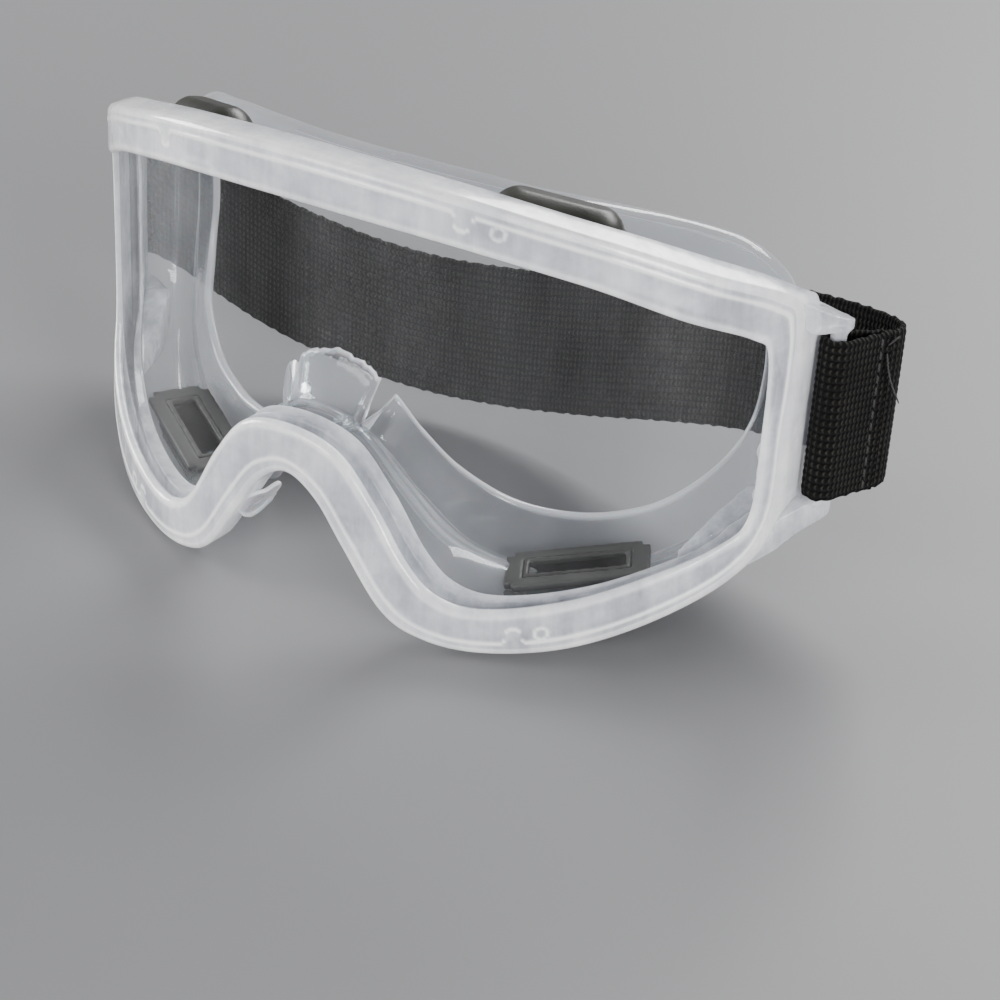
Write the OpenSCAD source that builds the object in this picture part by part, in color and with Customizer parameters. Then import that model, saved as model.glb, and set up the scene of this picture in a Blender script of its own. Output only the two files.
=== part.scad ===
// Safety goggles: a soft clear moulding with a wide curved lens, four shielded
// vents and a ribbed elastic head strap.
// Everything is drawn upright, with x across the face, y from the front towards the
// face and z up from the lowest edge of the front, and then leant back on its rim.

/* [Front] */
// Radius of the curved front face, seen from above
front_r = 92; // [88:1:98]
// Depth of the front band at the nose, front to back
band_depth = 7.5; // [6.5:0.5:9]
// Thickness of the front lip over the edge of the lens
front_lip = 1.8; // [1.4:0.1:2.2]
// Thickness of the lens
lens_t = 2.0; // [1.5:0.1:2.2]
// Angle at which the goggles lean back when they stand on a table
lean = 6.8; // [5:0.1:9]

/* [Skirt] */
// Thickness of the soft wall behind the front band
wall_t = 1.6; // [1.2:0.1:2]
// Half angle of each relief slit beside the nose flap
slit_half_angle = 7; // [4:1:10]

/* [Vents] */
// Length of a vent hood
hood_l = 24; // [20:1:26]
// Width of a vent hood
hood_w = 11; // [9:0.5:12]
// Length of the inner plate of a vent
plate_l = 27; // [24:1:30]
// Width of the inner plate of a vent
plate_w = 13; // [11:0.5:14]
// Length of the air slot in a vent
slot_l = 18; // [14:1:19]
// Width of the air slot in a vent
slot_w = 5; // [4:0.5:6]

/* [Strap] */
// Width of the elastic strap
strap_w = 31; // [28:1:34]
// Thickness of the elastic strap
strap_t = 1.4; // [1:0.1:1.6]
// Radius of the bar that each end of the strap is sewn round
bar_r = 1.5; // [1.2:0.1:1.8]
// Height of the middle of the strap where it joins the lugs
strap_z = 45.5; // [44:0.5:47]

/* [Hidden] */

$fn = 64;
gap = 0.1;             // clearance between the lens and its channel
channel_t = lens_t + 2 * gap;
steps = 4;             // spline steps between two control points
rear_r = front_r - 2;  // radius of the back of the front band
rear_y = rear_r + band_depth;
lift = 1.9;            // brings the lowest edge to the table
shift_y = 43.1;        // brings the middle of the goggles over the origin
lens_reach = 0.28;     // how far out in the band the lens ends: 0 outer edge, 1 opening
channel_reach = 0.24;
wall_reach = 0.62;     // where the soft wall starts in the band
frame_tint = [0.88, 0.89, 0.91, 0.75];
wall_tint = [0.86, 0.88, 0.9, 0.35];
vent_tint = [0.2, 0.2, 0.18];
plate_tint = [0.36, 0.36, 0.34];
strap_tint = [0.07, 0.07, 0.07];

// Right half of the front, from the top of the brow round to the top of the nose arch:
// the outer edge of the band and the edge of the lens opening, as [x, z]
band_edge = [
    [0, 89], [28, 86.8], [52, 81], [68, 74.4], [76, 70.2], [78, 65.5], [78, 46], [77.6, 27],
    [73.5, 16.4], [64.5, 8.6], [52, 2.5], [38, 0], [27.5, 1], [20.2, 5], [12.3, 16], [6.4, 24.1],
    [0, 27.6]];
opening_edge = [
    [0, 79.6], [27, 77.8], [49.5, 72.8], [64.5, 66.2], [72.4, 62.4], [74.4, 58.6], [74.6, 43],
    [74.2, 28], [70.6, 22.4], [62.6, 17.4], [51, 12], [37.5, 8.8], [29.8, 10.3], [24.4, 15.6],
    [18, 26], [10.4, 34.7], [0, 37.2]];
// The rim that the soft wall widens to, and the inner edge of the lip that meets the face,
// as [x, y, z]
rim_edge = [
    [0, 33.5, 80], [26, 37.2, 79], [46, 45, 77], [59.5, 52.6, 74], [66.5, 57.4, 68.5],
    [69.6, 59.8, 61], [70.6, 60.4, 46], [69.4, 58, 31], [65, 53, 18], [57, 47, 9], [48, 42.4, 4.4],
    [37, 38, 2.9], [28, 33, 5], [20.5, 26.5, 11], [14.2, 19.5, 22], [8.6, 14.4, 32.5],
    [0, 12.4, 36]];
lip_edge = [
    [0, 36.4, 73], [25, 39.8, 72], [43.6, 47, 70], [55.4, 53.6, 67], [61.4, 57.6, 62],
    [64, 59.6, 56], [64.8, 60.2, 45], [63.6, 57.6, 35.5], [59.6, 52, 27.5], [52.4, 46.6, 20.8],
    [43.4, 42, 17.2], [34, 37.6, 16.6], [25.6, 33, 19.2], [19.2, 27, 25.4], [14.2, 21.4, 33.5],
    [9.6, 17.4, 40], [0, 16.4, 43.4]];

// Middle line of the strap behind the goggles, from a lug to the middle of the back, as
// [x, y, drop below strap_z]. It hangs a little lower and closer on the left.
strap_right = [
    [86.8, 58.2, 0], [88.4, 61.6, 0.1], [87, 65.4, 0.4], [81.8, 68.6, 1], [73, 71.2, 1.8],
    [62, 73.6, 3.2], [50, 75.4, 5.4], [34, 76.8, 9.4], [17, 77.6, 13.8], [0, 77.4, 17.2]];
strap_left = [
    [86.8, 58.2, 0], [88.4, 61.4, 0.4], [86.4, 64.4, 1.6], [80, 66.4, 4.2], [71, 67.6, 8],
    [60.5, 68.8, 11.8], [49, 70.6, 15], [33, 73.2, 17.8], [17, 75.6, 18.6], [0, 77.4, 17.2]];
loop_slack = 0.35;     // room between a bar and the strap sewn round it
bar_x = 78.4 + bar_r + loop_slack + strap_t;
bar_y = 50.8;
seam_x = 86.8;
seam_y = 58.2;
back_from = 6;         // point of the strap's line where its back begins

function lerp(a, b, t) = a + (b - a) * t;
function unit(v) = v / norm(v);
function flip(p) = [for (i = [0:len(p) - 1]) i == 0 ? -p[0] : p[i]];
function both(half) = concat(half, [for (i = [len(half) - 2:-1:1]) flip(half[i])]);

// Smooth curve through four control points
function bend(a, b, c, d, t) = 0.5 * (2 * b + (c - a) * t
    + (2 * a - 5 * b + 4 * c - d) * t * t + (3 * b - a - 3 * c + d) * t * t * t);
function closed_curve(p) = let (n = len(p)) [
    for (i = [0:n - 1]) for (s = [0:steps - 1])
        bend(p[(i + n - 1) % n], p[i], p[(i + 1) % n], p[(i + 2) % n], s / steps)];
function open_curve(p, k) = let (n = len(p)) concat([
    for (i = [0:n - 2]) for (s = [0:k - 1])
        bend(p[max(i - 1, 0)], p[i], p[i + 1], p[min(i + 2, n - 1)], s / k)], [p[n - 1]]);

outer_curve = closed_curve(both(band_edge));
opening_curve = closed_curve(both(opening_edge));
rim_curve = closed_curve(both(rim_edge));
lip_curve = closed_curve(both(lip_edge));
columns = len(outer_curve);

function ring_at(f) = [for (i = [0:columns - 1]) lerp(outer_curve[i], opening_curve[i], f)];
function back_y(x) = rear_y - sqrt(rear_r * rear_r - x * x);

// The soft wall's outer surface: one row of points per ring, from the band to the lip
rows = 13;
function wall_stations(i) = let (
    e = lerp(outer_curve[i], opening_curve[i], wall_reach),
    root = [e[0], back_y(e[0]) - 0.4, e[1]],
    rim = rim_curve[i],
    lip = lip_curve[i],
    waist = lerp(root, rim, 0.5) + [-root[0] * 0.01, 0, (50 - root[2]) * 0.08],
    before = 2 * root - waist,
    after = 2 * lip - rim
) [before, root, waist, rim, lip, after];
function wall_point(i, t) = let (
    s = wall_stations(i), k = min(floor(t), 2)
) bend(s[k], s[k + 1], s[k + 2], s[k + 3], t - k);
wall_rows = [for (r = [0:rows - 1]) [for (i = [0:columns - 1]) wall_point(i, 3 * r / (rows - 1))]];
function wall_normal(r, i) = let (
    along = wall_rows[r][(i + 1) % columns] - wall_rows[r][(i + columns - 1) % columns],
    back = wall_rows[min(r + 1, rows - 1)][i] - wall_rows[max(r - 1, 0)][i]
) unit(cross(along, back));
wall_inside = [for (r = [rows - 1:-1:0]) [
    for (i = [0:columns - 1]) wall_rows[r][i] - wall_t * wall_normal(r, i)]];

// Closed skin over rows of points that join up both ways, as a bent tube does
module ring_skin(rings) {
    n = len(rings);
    m = len(rings[0]);
    polyhedron(
        points = [for (r = rings) for (p = r) p],
        faces = [for (a = [0:n - 1]) for (b = [0:m - 1]) for (half = [0, 1])
            let (p = a * m + b, q = a * m + (b + 1) % m,
                r = ((a + 1) % n) * m + b, s = ((a + 1) % n) * m + (b + 1) % m)
            half == 0 ? [p, q, s] : [p, s, r]]);
}

// Closed skin over rows of points that is capped at its two ends
module strip_skin(rings) {
    n = len(rings);
    m = len(rings[0]);
    polyhedron(
        points = [for (r = rings) for (p = r) p],
        faces = concat(
            [for (a = [0:n - 2]) for (b = [0:m - 1]) for (half = [0, 1])
                let (p = a * m + b, q = a * m + (b + 1) % m,
                    r = (a + 1) * m + b, s = (a + 1) * m + (b + 1) % m)
                half == 0 ? [p, q, s] : [p, s, r]],
            [[for (b = [m - 1:-1:0]) b]],
            [[for (b = [0:m - 1]) (n - 1) * m + b]]));
}

// Leans the goggles back onto their rim and brings them over the origin
module seated() {
    translate([0, -shift_y, lift]) rotate([-lean, 0, 0]) children();
}

module side(s) {
    if (s > 0) children();
    else mirror([1, 0, 0]) children();
}

module outline(points) {
    rotate([90, 0, 0]) linear_extrude(height = 200, center = true) polygon(points);
}

module shell(r_out, r_in) {
    translate([0, front_r, -10])
        difference() {
            cylinder(r = r_out, h = 120, $fn = 180);
            translate([0, 0, -1]) cylinder(r = r_in, h = 122, $fn = 180);
        }
}

// Keeps only the front half of a full ring
module front_half() {
    translate([-100, -10, -20]) cube([200, 80, 140]);
}

pin_places = [[32, 83.2], [-32, 83.2], [43.5, 5.2], [-43.5, 5.2]];
pin_r = 1.4;
notch_r = pin_r + 0.2;

module lens_pins(r, from, to) {
    for (p = pin_places)
        translate([0, front_r, p[1]]) rotate([0, 0, asin(p[0] / front_r)])
            translate([0, -from, 0]) rotate([-90, 0, 0]) cylinder(r = r, h = from - to, $fn = 32);
}

tab_place = [-11.6, 7, 15.5];
tab_turn = [15, 124, 0];
tab_r = 4.2;
tab_t = 0.8;

// A thin tab that the mould leaves on one side of the nose arch
module mould_tab() {
    translate(tab_place) rotate(tab_turn) {
        cylinder(r = tab_r, h = tab_t, center = true, $fn = 48);
        translate([-4.6, 1.2, 0]) cylinder(r = tab_r * 0.45, h = tab_t, center = true, $fn = 32);
    }
}

module lens_frame() {
    color(frame_tint) seated() {
        mould_tab();
        difference() {
            intersection() {
                outline(ring_at(0));
                front_half();
                difference() {
                    translate([0, front_r, -10]) cylinder(r = front_r, h = 120, $fn = 180);
                    translate([0, rear_y, -11]) cylinder(r = rear_r, h = 122, $fn = 180);
                }
            }
            outline(ring_at(1));
            intersection() {
                shell(front_r - front_lip, front_r - front_lip - channel_t);
                outline(ring_at(channel_reach));
                front_half();
            }
        }
        lens_pins(pin_r, front_r - front_lip + 0.5, front_r - front_lip - channel_t - 0.5);
    }
}

module lens() {
    color([0.9, 0.95, 0.97, 0.3]) seated()
        difference() {
            intersection() {
                shell(front_r - front_lip - gap, front_r - front_lip - gap - lens_t);
                outline(ring_at(lens_reach));
                front_half();
            }
            lens_pins(notch_r, front_r, front_r - 8);
            for (p = pin_places)
                translate([p[0] - notch_r, -5, p[1] > 40 ? p[1] : p[1] - 8])
                    cube([2 * notch_r, 45, 8]);
        }
}

// A vent's own frame: x along the hood, z out of the wall
module on_wall(column, row) {
    here = wall_rows[row][column];
    z = wall_normal(row, column);
    x0 = unit(wall_rows[row][column + 1] - wall_rows[row][column - 1]);
    x = unit(x0 - (x0 * z) * z);
    y = cross(z, x);
    multmatrix([[x[0], y[0], z[0], here[0]], [x[1], y[1], z[1], here[1]],
        [x[2], y[2], z[2], here[2]], [0, 0, 0, 1]])
        children();
}

top_column = 6;
bottom_column = 41;
vent_row = 3;

vent_back = 1.6;         // how far a lower vent sits behind its row, clear of the front band

function side_of(where) = where == "top_right" || where == "bottom_right" ? 1 : -1;
function on_top(where) = where == "top_right" || where == "top_left";

module vent_place(where) {
    top = on_top(where);
    side(side_of(where)) on_wall(top ? top_column : bottom_column, vent_row)
        translate([0, top ? 0 : vent_back, 0]) children();
}

module slot_block(l, w, low, high) {
    translate([-l / 2, -w / 2, low]) cube([l, w, high - low]);
}

neck_wall = 1;

module hood_shape(l, w, h) {
    intersection() {
        union() {
            rotate([0, 90, 0]) cylinder(d = w, h = l - w, center = true);
            for (s = [-1, 1]) translate([s * (l - w) / 2, 0, 0]) sphere(d = w);
        }
        translate([-l, -w, 0]) cube([2 * l, 2 * w, h]);
    }
}

module vent_hood(where) {
    color(vent_tint) seated() vent_place(where) {
        difference() {
            union() {
                translate([0, 0, 0.8]) hood_shape(hood_l, hood_w, hood_w / 2 - 0.3);
                translate([-(hood_l - hood_w) / 2, -hood_w / 2, 0.2]) cube([hood_l - hood_w, hood_w, 0.7]);
                slot_block(slot_l + 2 * neck_wall, slot_w + 2 * neck_wall, -wall_t - 1.9, 1);
            }
            translate([0, 0, 1.6]) hood_shape(hood_l - 2.6, hood_w - 2.6, hood_w / 2 - 1.6);
            slot_block(slot_l, slot_w, -8, 2.4);
            // the air leaves under the rear edge of the hood
            translate([-slot_l / 2, -hood_w, 1.6]) cube([slot_l, hood_w, 1.4]);
        }
        // the same end of every hood keeps a stub from its mould
        translate([side_of(where) * (hood_l / 2 - 1), 0, 1.9]) rotate([0, side_of(where) * 90, 0])
            cylinder(r = 1, h = 3.4, $fn = 24);
    }
}

module vent_plate(where) {
    color(plate_tint) seated() vent_place(where)
        translate([0, 0, -wall_t - 1.8])
            difference() {
                union() {
                    translate([-plate_l / 2 + 1.5, -plate_w / 2, 0]) cube([plate_l - 3, plate_w, 1.6]);
                    for (s = [-1, 1])
                        translate([-plate_l / 2, s * (plate_w / 2 - 3) - 1.5, 0]) cube([plate_l, 3, 1.6]);
                    translate([-plate_l / 2, -plate_w / 2 + 1.5, 0]) cube([plate_l, plate_w - 3, 1.6]);
                }
                slot_block(slot_l + 2 * neck_wall + 0.1, slot_w + 2 * neck_wall + 0.1, -1, 3);
            }
}

module vent_holes() {
    for (where = ["top_right", "top_left", "bottom_right", "bottom_left"])
        vent_place(where) slot_block(slot_l + 2 * neck_wall + 0.1, slot_w + 2 * neck_wall + 0.1, -5, 3);
}

// One slit on each side of the nose flap, open at the lip
module nose_slits() {
    for (s = [-1, 1])
        translate([s * 9.2, 10.5, 33]) rotate([-25, s * 22, 0])
            rotate([90, 0, 0]) linear_extrude(height = 24, center = true)
                polygon([[0, 0], [-14 * sin(slit_half_angle), 14], [14 * sin(slit_half_angle), 14]]);
}

module face_skirt() {
    color(wall_tint) seated()
        difference() {
            ring_skin(concat(wall_rows, wall_inside));
            vent_holes();
            nose_slits();
        }
}

// Two arms and the bar that the strap is sewn round
arm_plan = [[60, 24.5], [70, 33.5], [77.8, 43.5], [82.9, 50.4], [83.6, 52.2], [83.2, 53.6],
    [81.6, 54.3], [77.4, 53.9], [70, 50], [66, 42]];
arm_low = strap_z - strap_w / 2 - 1;
arm_high = strap_z + strap_w / 2 + 1;

module strap_lug(s) {
    color(frame_tint) seated() side(s)
        difference() {
            union() {
                intersection() {
                    translate([0, 0, arm_high]) linear_extrude(height = 12) polygon(arm_plan);
                    rotate([90, 0, 90]) linear_extrude(height = 100)
                        polygon([[20, 73.6], [36, 72.6], [46, 69.4], [56, 64.6], [56, arm_high],
                            [46, arm_high], [40, 66], [32, 69.4], [20, 71.6]]);
                }
                intersection() {
                    translate([0, 0, arm_low - 15]) linear_extrude(height = 15) polygon(arm_plan);
                    rotate([90, 0, 90]) linear_extrude(height = 100)
                        polygon([[32, 16], [44, 17.4], [52, 22.6], [56, 26.4], [56, arm_low],
                            [48, arm_low], [32, 18.4]]);
                }
                translate([bar_x, bar_y, arm_low - 1.5])
                    cylinder(r = bar_r, h = arm_high - arm_low + 3, $fn = 32);
            }
            // room for the front band and the soft wall
            intersection() {
                translate([0, rear_y, -11]) difference() {
                    cylinder(r = 150, h = 122, $fn = 90);
                    translate([0, 0.02, -1]) cylinder(r = rear_r + 0.02, h = 124, $fn = 180);
                }
                outline(ring_at(0));
                translate([-100, -10, -20]) cube([200, 100, 140]);
            }
        }
}

function drop_shape(r, tip) = let (
    axis = [seam_x - bar_x, seam_y - bar_y],
    reach = norm(axis),
    turn = atan2(axis[1], axis[0]),
    open = acos((r - tip) / reach)
) concat(
    [for (a = [open:12:360 - open]) [bar_x + r * cos(a + turn), bar_y + r * sin(a + turn)]],
    [for (a = [-open:open / 3:open])
        [seam_x + tip * cos(a + turn), seam_y + tip * sin(a + turn)]]);

module strap_loop(s) {
    inside = bar_r + loop_slack;
    color(strap_tint) seated() side(s)
        translate([0, 0, strap_z - strap_w / 2]) linear_extrude(height = strap_w)
            difference() {
                polygon(drop_shape(inside + strap_t, strap_t));
                polygon(drop_shape(inside, 0.05));
            }
}

// A flat strap swept along its middle line, on edge, as rows of four corners
function strap_rows(line) = [for (i = [0:len(line) - 1]) let (
    a = line[max(i - 1, 0)],
    b = line[min(i + 1, len(line) - 1)],
    along = unit([b[0] - a[0], b[1] - a[1]]),
    out = [along[1], -along[0]] * strap_t / 2,
    p = line[i],
    mid = strap_z - p[2]
) [[p[0] + out[0], p[1] + out[1], mid - strap_w / 2], [p[0] + out[0], p[1] + out[1], mid + strap_w / 2],
    [p[0] - out[0], p[1] - out[1], mid + strap_w / 2], [p[0] - out[0], p[1] - out[1], mid - strap_w / 2]]];

right_curve = open_curve(strap_right, 3);
left_curve = open_curve(strap_left, 3);
side_end = back_from * 3;
last = len(right_curve) - 1;
all_rows = strap_rows(concat(right_curve, [for (i = [last - 1:-1:0]) flip(left_curve[i])]));

// The sides start just clear of the seam and stop just short of the back
clear = 0.36;
short = 0.97;

module strap_side(s) {
    function at(i) = all_rows[s > 0 ? i : 2 * last - i];
    rows_from_seam = concat([lerp(at(1), at(2), clear)], [for (i = [2:side_end - 1]) at(i)],
        [lerp(at(side_end - 1), at(side_end), short)]);
    count = len(rows_from_seam) - 1;
    color(strap_tint) seated()
        strip_skin([for (i = [0:count]) rows_from_seam[s > 0 ? i : count - i]]);
}

module strap_back() {
    color(strap_tint) seated() strip_skin([for (i = [side_end:2 * last - side_end]) all_rows[i]]);
}

stitch_count = 9;
stitch_l = 2.6;
stitch_r = 0.35;
stitch_gap = 0.55;

module seam_stitches(s) {
    turn = atan2(seam_y - bar_y, seam_x - bar_x);
    color([0.03, 0.03, 0.03]) seated() side(s)
        translate([seam_x, seam_y, strap_z]) rotate([0, 0, turn])
            for (face = [-1, 1]) for (i = [0:stitch_count - 1])
                translate([-1.4, face * (strap_t + stitch_r + stitch_gap),
                    (i - (stitch_count - 1) / 2) * 3.6])
                    cylinder(r = stitch_r, h = stitch_l, center = true, $fn = 16);
}

module thread_tails() {
    color([0.03, 0.03, 0.03]) seated()
        translate([seam_x + 1.6, seam_y - 1, strap_z + 12]) {
            rotate([0, 168, 50]) cylinder(r = 0.25, h = 10, $fn = 16);
            translate([0, 0, 1.5]) rotate([0, 50, 50]) cylinder(r = 0.25, h = 2.6, $fn = 16);
        }
}

lens_frame();
lens();
face_skirt();
strap_lug(1);  // strap_lug_right
strap_lug(-1);  // strap_lug_left
vent_hood("top_right");  // vent_hood_top_right
vent_hood("top_left");  // vent_hood_top_left
vent_hood("bottom_right");  // vent_hood_bottom_right
vent_hood("bottom_left");  // vent_hood_bottom_left
vent_plate("top_right");  // vent_plate_top_right
vent_plate("top_left");  // vent_plate_top_left
vent_plate("bottom_right");  // vent_plate_bottom_right
vent_plate("bottom_left");  // vent_plate_bottom_left
strap_loop(1);  // strap_loop_right
strap_loop(-1);  // strap_loop_left
strap_side(1);  // strap_side_right
strap_side(-1);  // strap_side_left
strap_back();
seam_stitches(1);  // seam_stitches_right
seam_stitches(-1);  // seam_stitches_left
thread_tails();
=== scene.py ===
import math
import bmesh
import bpy
import numpy as np
from mathutils import Matrix


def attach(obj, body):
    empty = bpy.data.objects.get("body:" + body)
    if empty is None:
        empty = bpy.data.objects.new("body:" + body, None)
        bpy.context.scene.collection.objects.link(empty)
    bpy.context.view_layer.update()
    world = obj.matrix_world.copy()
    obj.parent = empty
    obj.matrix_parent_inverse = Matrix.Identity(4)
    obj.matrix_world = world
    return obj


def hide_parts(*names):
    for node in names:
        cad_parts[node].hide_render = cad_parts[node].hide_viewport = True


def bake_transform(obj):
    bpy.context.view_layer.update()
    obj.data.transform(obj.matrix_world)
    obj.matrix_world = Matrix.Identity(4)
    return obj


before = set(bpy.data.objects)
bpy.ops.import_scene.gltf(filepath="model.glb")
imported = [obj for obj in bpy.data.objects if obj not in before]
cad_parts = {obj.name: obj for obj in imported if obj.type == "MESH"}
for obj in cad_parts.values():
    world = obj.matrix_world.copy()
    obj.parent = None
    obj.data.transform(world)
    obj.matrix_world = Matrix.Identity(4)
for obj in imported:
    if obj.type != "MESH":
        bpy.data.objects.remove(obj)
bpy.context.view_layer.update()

# Shared shapes, in millimetres, with the goggles upright as they were drawn
front = dict(radius=92.0, rearRadius=90.0, rearCentre=97.5, lip=1.8, channel=2.2,
             lean=6.8, shiftY=43.1, lift=1.9, columns=840)

bandEdge = [(0, 89), (28, 86.8), (52, 81), (68, 74.4), (76, 70.2), (78, 65.5), (78, 46), (77.6, 27),
            (73.5, 16.4), (64.5, 8.6), (52, 2.5), (38, 0), (27.5, 1), (20.2, 5), (12.3, 16),
            (6.4, 24.1), (0, 27.6)]
openingEdge = [(0, 79.6), (27, 77.8), (49.5, 72.8), (64.5, 66.2), (72.4, 62.4), (74.4, 58.6),
               (74.6, 43), (74.2, 28), (70.6, 22.4), (62.6, 17.4), (51, 12), (37.5, 8.8),
               (29.8, 10.3), (24.4, 15.6), (18, 26), (10.4, 34.7), (0, 37.2)]
rimEdge = [(0, 33.5, 80), (26, 37.2, 79), (46, 45, 77), (59.5, 52.6, 74), (66.5, 57.4, 68.5),
           (69.6, 59.8, 61), (70.6, 60.4, 46), (69.4, 58, 31), (65, 53, 18), (57, 47, 9),
           (48, 42.4, 4.4), (37, 38, 2.9), (28, 33, 5), (20.5, 26.5, 11), (14.2, 19.5, 22),
           (8.6, 14.4, 32.5), (0, 12.4, 36)]
lipEdge = [(0, 36.4, 73), (25, 39.8, 72), (43.6, 47, 70), (55.4, 53.6, 67), (61.4, 57.6, 62),
           (64, 59.6, 56), (64.8, 60.2, 45), (63.6, 57.6, 35.5), (59.6, 52, 27.5),
           (52.4, 46.6, 20.8), (43.4, 42, 17.2), (34, 37.6, 16.6), (25.6, 33, 19.2),
           (19.2, 27, 25.4), (14.2, 21.4, 33.5), (9.6, 17.4, 40), (0, 16.4, 43.4)]
pinPlaces = [(32, 83.2), (-32, 83.2), (43.5, 5.2), (-43.5, 5.2)]


def bothHalves(half):
    half = np.array(half, float)
    left = half[1:-1][::-1].copy()
    left[:, 0] *= -1
    return np.vstack([half, left])


# Catmull-Rom curve through points, at the given parameters, where 1.0 is one control point
def smoothCurve(points, at, closed=True):
    points = np.asarray(points, float)
    n = len(points)
    k = np.floor(at).astype(int)
    t = (at - k)[:, None]
    if closed:
        a, b, c, d = (points[(k + i) % n] for i in (-1, 0, 1, 2))
    else:
        k = np.minimum(k, n - 2)
        t = (at - k)[:, None]
        a, b, c, d = (points[np.clip(k + i, 0, n - 1)] for i in (-1, 0, 1, 2))
    return 0.5 * (2 * b + (c - a) * t + (2 * a - 5 * b + 4 * c - d) * t ** 2
                  + (3 * b - a - 3 * c + d) * t ** 3)


# Leans upright points back onto the rim, over the origin, and turns them into metres
def seated(points):
    p = np.asarray(points, float)
    c, s = math.cos(math.radians(front["lean"])), math.sin(math.radians(front["lean"]))
    y = p[..., 1] * c + p[..., 2] * s - front["shiftY"]
    z = p[..., 2] * c - p[..., 1] * s + front["lift"]
    return np.stack([p[..., 0], y, z], axis=-1) / 1000


# Back from the leant metres to the upright millimetres
def upright(points):
    p = np.asarray(points, float) * 1000
    c, s = math.cos(math.radians(front["lean"])), math.sin(math.radians(front["lean"]))
    y, z = p[..., 1] + front["shiftY"], p[..., 2] - front["lift"]
    return np.stack([p[..., 0], y * c - z * s, y * s + z * c], axis=-1)


# How far back the front's curved face lies at x, sunk by depth
def depthY(x, depth):
    r = front["radius"] - depth
    return front["radius"] - np.sqrt(np.maximum(r * r - x * x, 0))


def rearY(x):
    return front["rearCentre"] - np.sqrt(front["rearRadius"] ** 2 - x * x)


def unit(v):
    return v / np.maximum(np.linalg.norm(v, axis=-1, keepdims=True), 1e-12)


def gridFaces(rows, columns, closeRows, closeColumns, flip=False):
    r = np.arange(rows if closeRows else rows - 1)
    c = np.arange(columns if closeColumns else columns - 1)
    r, c = np.meshgrid(r, c, indexing="ij")
    r2, c2 = (r + 1) % rows, (c + 1) % columns
    quads = np.stack([r * columns + c, r * columns + c2, r2 * columns + c2, r2 * columns + c], -1)
    quads = quads.reshape(-1, 4)
    return (quads[:, ::-1] if flip else quads).tolist()


def makePiece(name, points, faces, material, body, replaced=(), sharp=None, values=None):
    mesh = bpy.data.meshes.new(name)
    mesh.from_pydata([tuple(p) for p in np.asarray(points, float).reshape(-1, 3)], [], faces)
    mesh.validate()
    work = bmesh.new()
    work.from_mesh(mesh)
    bmesh.ops.recalc_face_normals(work, faces=work.faces)
    work.to_mesh(mesh)
    work.free()
    mesh.polygons.foreach_set("use_smooth", [True] * len(mesh.polygons))
    for key, data in (values or {}).items():
        layer = mesh.attributes.new(key, "FLOAT", "POINT")
        layer.data.foreach_set("value", np.asarray(data, np.float32).ravel())
    if sharp:
        mesh.set_sharp_from_angle(angle=math.radians(sharp))
    obj = bpy.data.objects.new(name, mesh)
    bpy.context.scene.collection.objects.link(obj)
    mesh.materials.append(material)
    if body:
        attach(obj, body)
    if replaced:
        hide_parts(*replaced)
    return obj


# A moulded look for a hard-edged piece: its own remeshed copy with rounded edges
def softCopy(name, nodeName, material, body, voxel, smoothing):
    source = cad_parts[nodeName]
    mesh = source.data.copy()
    mesh.materials.clear()
    obj = bpy.data.objects.new(name, mesh)
    bpy.context.scene.collection.objects.link(obj)
    remesh = obj.modifiers.new("remesh", "REMESH")
    remesh.mode = "VOXEL"
    remesh.voxel_size = voxel
    remesh.use_smooth_shade = True
    soften = obj.modifiers.new("soften", "SMOOTH")
    soften.factor = 0.5
    soften.iterations = smoothing
    graph = bpy.context.evaluated_depsgraph_get()
    final = bpy.data.meshes.new_from_object(obj.evaluated_get(graph))
    obj.modifiers.clear()
    obj.data = final
    final.name = name
    final.materials.clear()
    final.materials.append(material)
    final.polygons.foreach_set("use_smooth", [True] * len(final.polygons))
    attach(obj, body)
    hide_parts(nodeName)
    return obj


# Node helpers

def newMaterial(name):
    material = bpy.data.materials.new(name)
    material.use_nodes = True
    material.node_tree.nodes.clear()
    return material, material.node_tree


def add(tree, kind, x=0, y=0, **settings):
    node = tree.nodes.new(kind)
    node.location = (x, y)
    for key, value in settings.items():
        setattr(node, key, value)
    return node


def join(tree, source, target):
    tree.links.new(source, target)


def setInputs(node, **values):
    for key, value in values.items():
        node.inputs[key.replace("_", " ")].default_value = value


def mathNode(tree, operation, a, b=None, c=None, clamp=False):
    node = add(tree, "ShaderNodeMath", operation=operation, use_clamp=clamp)
    for index, value in enumerate((a, b, c)):
        if value is None:
            continue
        if isinstance(value, (int, float)):
            node.inputs[index].default_value = value
        else:
            join(tree, value, node.inputs[index])
    return node.outputs[0]


def ramp(tree, source, stops, mode="LINEAR"):
    node = add(tree, "ShaderNodeValToRGB")
    node.color_ramp.interpolation = mode
    while len(node.color_ramp.elements) < len(stops):
        node.color_ramp.elements.new(0.5)
    for element, (place, colour) in zip(node.color_ramp.elements, stops):
        element.position = place
        element.color = colour if len(colour) == 4 else (*colour, 1)
    join(tree, source, node.inputs["Fac"])
    return node.outputs["Color"]


def spread(tree, source, low, high, to=(0.0, 1.0)):
    node = add(tree, "ShaderNodeMapRange")
    node.inputs["From Min"].default_value = low
    node.inputs["From Max"].default_value = high
    node.inputs["To Min"].default_value = to[0]
    node.inputs["To Max"].default_value = to[1]
    join(tree, source, node.inputs["Value"])
    return node.outputs["Result"]


def bumpNode(tree, height, strength, distance, normal=None):
    node = add(tree, "ShaderNodeBump")
    node.inputs["Strength"].default_value = strength
    node.inputs["Distance"].default_value = distance
    join(tree, height, node.inputs["Height"])
    if normal is not None:
        join(tree, normal, node.inputs["Normal"])
    return node.outputs["Normal"]


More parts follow.
